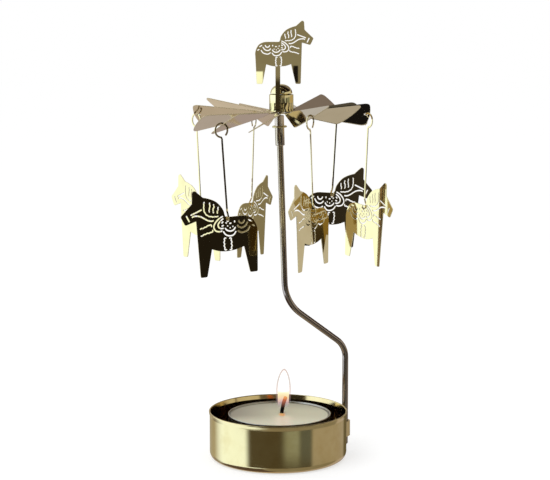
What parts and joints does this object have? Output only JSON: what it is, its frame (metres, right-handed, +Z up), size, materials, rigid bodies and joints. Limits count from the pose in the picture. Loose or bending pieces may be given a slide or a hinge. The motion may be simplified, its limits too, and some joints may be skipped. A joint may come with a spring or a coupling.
{
  "type": "rotary tealight candle holder",
  "caption": "Brass candle carousel: a tealight in a round cup turns a pitched-blade rotor on a bent rod, with pierced flat horses hanging from wire hooks and one on top.",
  "frame": {"origin": "centre of the candle cup's flat underside, on the surface the holder stands on", "axes": "+Z up along the candle cup's axis and the rotor's spin axis, +X to the viewer's right towards the rod's side of the cup, +Y away from the viewer"},
  "size_m": [0.081, 0.0874, 0.1619],
  "materials": {
    "candle_cup": "satin",
    "support_rod": "polished",
    "rod_sleeve": "polished",
    "sleeve_collar": "polished",
    "pivot_needle": "ground",
    "tealight_cup": "bright",
    "tealight_wax": "wax",
    "tealight_wick": "charred cotton",
    "wick_sustainer": "tinned",
    "rotor_blades": "polished",
    "hub_collar": "polished",
    "hub_dome": "polished",
    "pivot_bearing": "polished",
    "top_horse": "polished",
    "hook_wire_1": "drawn",
    "hook_wire_2": "drawn",
    "hook_wire_3": "drawn",
    "hook_wire_4": "drawn",
    "hook_wire_5": "drawn",
    "hook_wire_6": "drawn",
    "horse_1": "polished",
    "horse_2": "polished",
    "horse_3": "polished",
    "horse_4": "polished",
    "horse_5": "polished",
    "horse_6": "polished"
  },
  "bodies": {
    "base": {"candle_cup": "candle_cup", "support_rod": "support_rod", "rod_sleeve": "rod_sleeve", "sleeve_collar": "sleeve_collar", "pivot_needle": "pivot_needle"},
    "tealight": {"tealight_cup": "tealight_cup", "tealight_wax": "tealight_wax", "tealight_wick": "tealight_wick", "wick_sustainer": "wick_sustainer"},
    "rotor": {"rotor_blades": "rotor_blades", "hub_collar": "hub_collar", "hub_dome": "hub_dome", "pivot_bearing": "pivot_bearing", "top_horse": "top_horse"},
    "pendant_1": {"hook_wire_1": "hook_wire_1", "horse_1": "horse_1"},
    "pendant_2": {"hook_wire_2": "hook_wire_2", "horse_2": "horse_2"},
    "pendant_3": {"hook_wire_3": "hook_wire_3", "horse_3": "horse_3"},
    "pendant_4": {"hook_wire_4": "hook_wire_4", "horse_4": "horse_4"},
    "pendant_5": {"hook_wire_5": "hook_wire_5", "horse_5": "horse_5"},
    "pendant_6": {"hook_wire_6": "hook_wire_6", "horse_6": "horse_6"}
  },
  "joints": [
    {"name": "rotor_spin", "type": "hinge", "parent": "base", "child": "rotor", "pos_m": [0.00117, 0, 0.1373], "axis": [0, 0, 1], "continuous": true},
    {"name": "tealight_lift", "type": "slide", "parent": "base", "child": "tealight", "axis": [0, 0, 1], "range_m": [0, 0.018]},
    {"name": "pendant_1_swing", "type": "hinge", "parent": "rotor", "child": "pendant_1", "pos_m": [0.03244, -0.00657, 0.12627], "axis": [0.848, 0.5299, 0], "range_deg": [-20, 20]},
    {"name": "pendant_2_swing", "type": "hinge", "parent": "rotor", "child": "pendant_2", "pos_m": [0.02237, 0.0244, 0.12732], "axis": [-0.454, 0.891, 0], "range_deg": [-20, 20]},
    {"name": "pendant_3_swing", "type": "hinge", "parent": "rotor", "child": "pendant_3", "pos_m": [-0.00917, 0.02993, 0.12365], "axis": [-0.9511, 0.309, 0], "range_deg": [-20, 20]},
    {"name": "pendant_4_swing", "type": "hinge", "parent": "rotor", "child": "pendant_4", "pos_m": [-0.03008, 0.00621, 0.12546], "axis": [-0.7547, -0.6561, 0], "range_deg": [-20, 20]},
    {"name": "pendant_5_swing", "type": "hinge", "parent": "rotor", "child": "pendant_5", "pos_m": [-0.01991, -0.02456, 0.12399], "axis": [0.5736, -0.8192, 0], "range_deg": [-20, 20]},
    {"name": "pendant_6_swing", "type": "hinge", "parent": "rotor", "child": "pendant_6", "pos_m": [0.011, -0.03047, 0.12714], "axis": [0.866, -0.5, 0], "range_deg": [-20, 20]}
  ]
}
